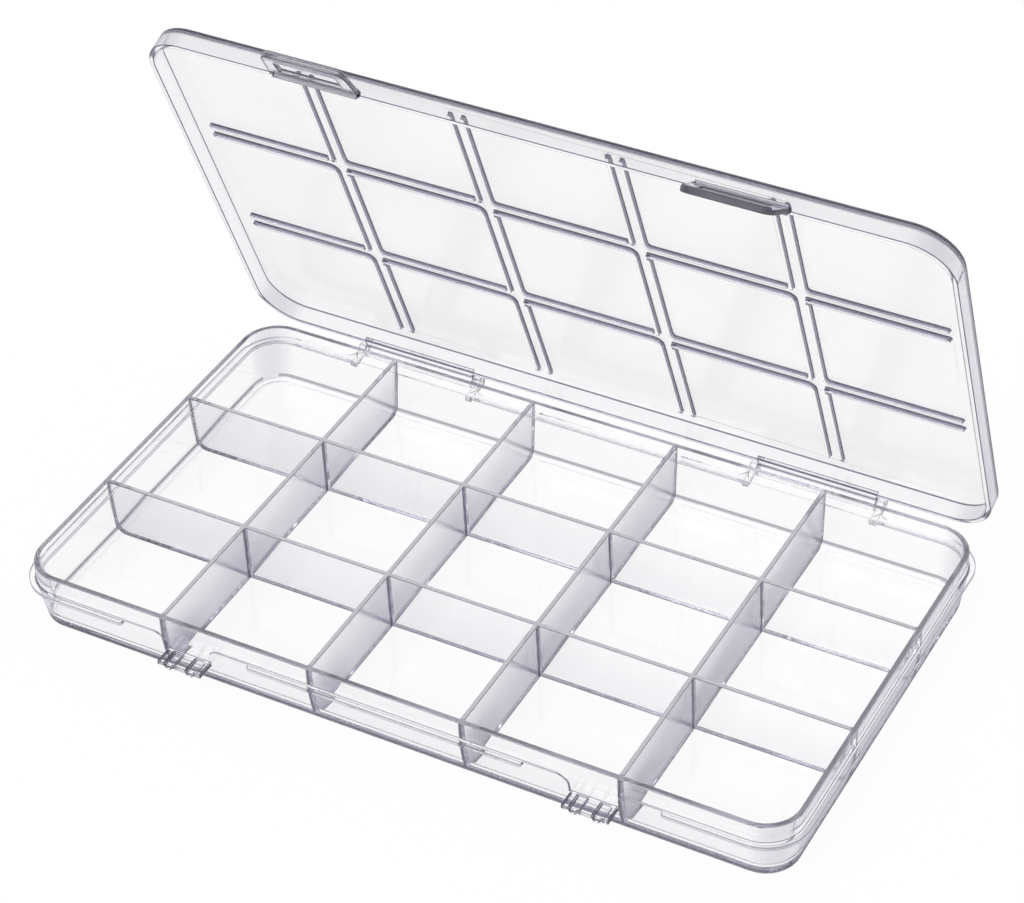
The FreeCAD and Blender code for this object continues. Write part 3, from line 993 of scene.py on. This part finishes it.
def top_shares(centre, normal, is_strip):
    """Shares of the level top and its rounded edges: a painted dark outer line, dividers with painted shade
    on one side.
    """
    if inside_hollow(centre) and not in_corner(centre):
        on_shaded_side = is_strip and normal.x - normal.y > upright
        return divider_shade_line_shares if on_shaded_side else divider_top_shares
    if centre.y > 0 and any(low < centre.x < high for low, high in hinge_spans):
        return hinge_rim_shares
    outwards = normal.x * centre.x + normal.y * centre.y > 0
    return painted_edge_shade_shares if is_strip and outwards else rim_top_shares


print("rim", rim_top_shares, "dividers", divider_top_shares)

# %% [markdown]
# Of the dividers, the columns take full part in the slow changes, so their painted shade deepens
# towards foot and front. The rows take less part, and their painted shade is paler towards the right.
# Above their foot the walls are nearly clear, and get painted shade only where they turn a corner. The
# crease at each divider's foot and the strip of a column in front of each row are painted dark.

# %% Tray: shares of the dividers
column_shares = (0.11, 1.0, 0.0)
crossing_shares = (0.0, 0.0, 0.95)
row_shares = (0.10, 0.3, 0.0)
# Painted shade across the rows, paler towards the right.
row_shade_run = 0.10
crease_shares = (0.0, 0.0, 0.93)


def before_row(point):
    """Whether a point is in the narrow strip in front of a row divider."""
    return any(0 < middle - divider_half - point.y < crossing_width for middle in divider_ys)


def divider_shares(centre, normal):
    """Shares of a divider's sides and of the crease at its foot."""
    if abs(normal.z) < upright and abs(normal.x) > steep:
        return crossing_shares if normal.x > 0 and before_row(centre) else column_shares
    if abs(normal.z) < upright and abs(normal.y) > steep:
        return (row_shares[0] - row_shade_run * centre.x / hollow_high.x, row_shares[1], row_shares[2])
    return crease_shares


print("columns", column_shares, "rows", row_shares)

# %% Tray: shares of the walls and catches
wall_shares = (0.03, 0.1, 0.0)
wall_end_shares = (0.0, 0.0, 0.82)
foot_line_shares = (0.0, 0.0, 0.80)
band_shares = (0.50, 0.0, 0.0)
catch_shares = (0.04, 0.0, 0.0)
catch_side_shares = (0.0, 0.0, 0.90)
bar_line_shares = (0.0, 0.0, 0.92)
# How much painted shade a wall takes where it turns a corner.
corner_shade_depth = 0.55


def with_corner_shade(shares, turn):
    """Shares with painted shade that deepens as a wall turns round a corner."""
    return (shares[0] + corner_shade_depth * abs(turn), shares[1], shares[2])


def ends_divider(centre, normal):
    """Whether a piece of a wall's outer face lies over the end of a divider."""
    if abs(normal.y) > steep:
        return any(abs(centre.x - middle) < wall_end_half for middle in divider_xs)
    return abs(normal.x) > steep and any(abs(centre.y - middle) < wall_end_half for middle in divider_ys)


def catch_face_shares(centre, normal):
    """Shares of the faces of a catch: lines and sides painted dark as shade, clear between them."""
    if any(low < centre.x < high for low, high in bar_lines):
        return bar_line_shares
    return catch_side_shares if abs(normal.x) > steep else catch_shares


def wall_face_shares(centre, normal):
    """Shares of the walls: painted dark over divider ends and at the foot line, a painted violet band below
    the floor, painted shade at corners, else nearly clear.
    """
    if on_wall_outside(centre, normal) and ends_divider(centre, normal):
        return wall_end_shares
    if foot_line_span[0] < centre.z < foot_line_span[1] and normal.z < 0 and not behind_catch(centre):
        return foot_line_shares
    if centre.z < floor_height:
        return pale_band_shares if behind_catch(centre) else band_shares
    return with_corner_shade(wall_shares, normal.x * normal.y)


print("walls", wall_shares, "foot band", band_shares)

# %% Tray: round, zone and hand over
tray_rounding = 0.00011
pane_shares = (0.0, 0.0, 0.0)


def tray_shares(centre, normal, is_strip):
    """Shares of any face of the tray."""
    is_level = abs(normal.z) > steep
    if centre.z > rim_height - rim_margin and (is_strip or is_level):
        return top_shares(centre, normal, is_strip)
    if is_strip:
        return tray_strip(centre, normal)
    if is_level and centre.z < floor_height:
        return pane_shares
    if near_divider(centre):
        return divider_shares(centre, normal)
    return catch_face_shares(centre, normal) if near_catch(centre) else wall_face_shares(centre, normal)


rounded(tray, tray_rounding, is_delicate)
put_back(tray, "base_tray")
zoned(tray, tray_shares)
smoothed(tray)
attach(tray, "tray")
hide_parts("base_tray")

# %% [markdown]
# The lid is a second thin moulding. Its plate is nearly invisible, its skirt a faint band with painted
# shade at the corners, and the little ribs under the plate are painted with dark outlines of shade and
# deep sides round a light middle. The outer corner of the plate gets a thick painted dark line of
# shade, while the free edge of the skirt gets a thin, paler one. These can't be told apart by their
# heights as the lid stands open, so every face is looked at where it lies when shut.

# %% Lid: copy and levels
plate_thickness = 0.0011
rib_depth = 0.0009
outer_line = 0.00100

lid = welded_copy("lid", "lid_shell", lid_resin)
lid_low = min(when_shut(vertex.co).z for vertex in lid.data.vertices)
lid_high = max(when_shut(vertex.co).z for vertex in lid.data.vertices)
plate_under = lid_high - plate_thickness
rib_under = plate_under - rib_depth
line_height = lid_high - outer_line
print("lid shut from", lid_low, "to", lid_high)

# %% [markdown]
# The painted dark line of shade at the lid's outer corner is a strip of the skirt's outer face, one
# millimetre high.
# The cutting plane lies level when the lid is shut, so it is turned open with the lid.

# %% Lid: cut the outer line
opened = shut.inverted()


def faces_out(centre, normal):
    """Whether a face of the lid is on its outside, seen from its middle."""
    turned_normal = shut @ normal
    turned_centre = when_shut(centre)
    return turned_normal.x * turned_centre.x + turned_normal.y * turned_centre.y > 0


line_place = lid_axis_point + opened @ (along_z * line_height - lid_axis_point)
cut_faces(lid, line_place, opened @ along_z, faces_out)
print("lid faces after the cut", len(lid.data.polygons))

# %% Lid: shares, round and hand over
lid_rounding = 0.00015
height_margin = 0.0001
skirt_foot = 0.0006
rib_reach = 0.0835
# The outer line, the rib outlines, the rib sides and the skirt's corners are painted shade.
plate_shares = (0.0, 1.0, 0.0)
skirt_shares = (0.13, 0.0, 0.0)
rib_shares = (0.85, 0.0, 0.0)
rim_curve_shares = (0.05, 0.0, 0.0)
outer_line_shares = (0.0, 0.0, 0.96)
skirt_edge_shares = (0.0, 0.0, 0.60)
rib_edge_shares = (0.0, 0.0, 1.0)


def lid_shares(centre, normal, is_strip):
    """Shares of any face of the lid, told apart by its height when shut."""
    height = when_shut(centre).z
    is_level = abs((shut @ normal).z) > steep
    in_ribs = rib_under - height_margin < height < plate_under and abs(centre.x) < rib_reach
    if is_strip:
        if height < lid_low + skirt_foot:
            return skirt_edge_shares
        return rib_edge_shares if in_ribs else painted_edge_shade_shares
    if in_ribs and not is_level:
        return rib_shares
    if is_level and height > rib_under - height_margin:
        return plate_shares
    if height > line_height and faces_out(centre, normal):
        return outer_line_shares
    if height < rib_under - height_margin:
        return with_corner_shade(skirt_shares, normal.x * (shut @ normal).y)
    return rim_curve_shares


rounded(lid, lid_rounding)
put_back(lid, "lid")
zoned(lid, lid_shares)
smoothed(lid)
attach(lid, "lid")
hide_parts("lid")

# %% [markdown]
# Each latch flap is a small plate with a window that snaps over a catch on the tray's front. Every
# edge of it is painted as a dark outline of shade. The left flap is seen on its face, and its sides
# are painted only half dark. The right one is seen nearly edge-on, so its sides are what one sees of
# it, and are painted darker. One function dresses both, since they differ in nothing else.

# %% Flaps
flap_rounding = 0.00014
flap_body_shares = (0.05, 0.0, 0.0)
# Painted shade on the flaps' sides, darker on the flap seen edge-on.
left_side_shade_shares = (0.0, 0.0, 0.50)
right_side_shade_shares = (0.0, 0.0, 0.76)


def dress_flap(node_name, piece_name, body, flap_side_shade):
    """Make one latch flap, painted dark as shade all round its thickness."""
    flap = welded_copy(node_name, piece_name, flap_resin)
    plate_normal = max(flap.data.polygons, key=lambda face: face.area).normal.copy()

    def flap_shares(centre, normal, is_strip):
        """Shares of any face of this flap."""
        if is_strip:
            return painted_edge_shade_shares
        return flap_body_shares if abs(normal.dot(plate_normal)) > steep else flap_side_shade

    rounded(flap, flap_rounding)
    zoned(flap, flap_shares)
    smoothed(flap)
    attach(flap, body)
    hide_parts(node_name)


dress_flap("latch_left", "left_latch_flap", "left_flap", left_side_shade_shares)
dress_flap("latch_right", "right_latch_flap", "right_flap", right_side_shade_shares)

# %% [markdown]
# The hinge pins are plain rods, so they are modelled anew: a cylinder with chamfered ends, a hair
# thinner than the bore, because two clear surfaces in the same place would render as noise.

# %% Hinge pins
pin_gap = 0.00002
pin_chamfer = 0.00015
pin_sides = 48
pin_shares = (0.1, 0.0, 0.0)
quarter_turn = math.radians(90)


def shares_of_pin(centre, normal, is_strip):
    """Shares of any face of a pin."""
    return pin_shares


for node_name, piece_name in (("hinge_pin_left", "left_hinge_pin"), ("hinge_pin_right", "right_hinge_pin")):
    low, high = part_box(node_name)
    middle = (low + high) / 2
    bpy.ops.object.select_all(action="DESELECT")
    bpy.ops.mesh.primitive_cylinder_add(vertices=pin_sides, radius=(high.y - low.y) / 2 - pin_gap,
                                        depth=high.x - low.x - 2 * pin_gap)
    pin = bpy.context.active_object
    pin.name = piece_name
    pin.data.name = piece_name
    pin.data.transform(Matrix.Translation(middle) @ Matrix.Rotation(quarter_turn, 4, "Y"))
    pin.data.materials.append(pin_resin)
    rounded(pin, pin_chamfer)
    zoned(pin, shares_of_pin)
    smoothed(pin)
    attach(pin, "tray")
    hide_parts(node_name)
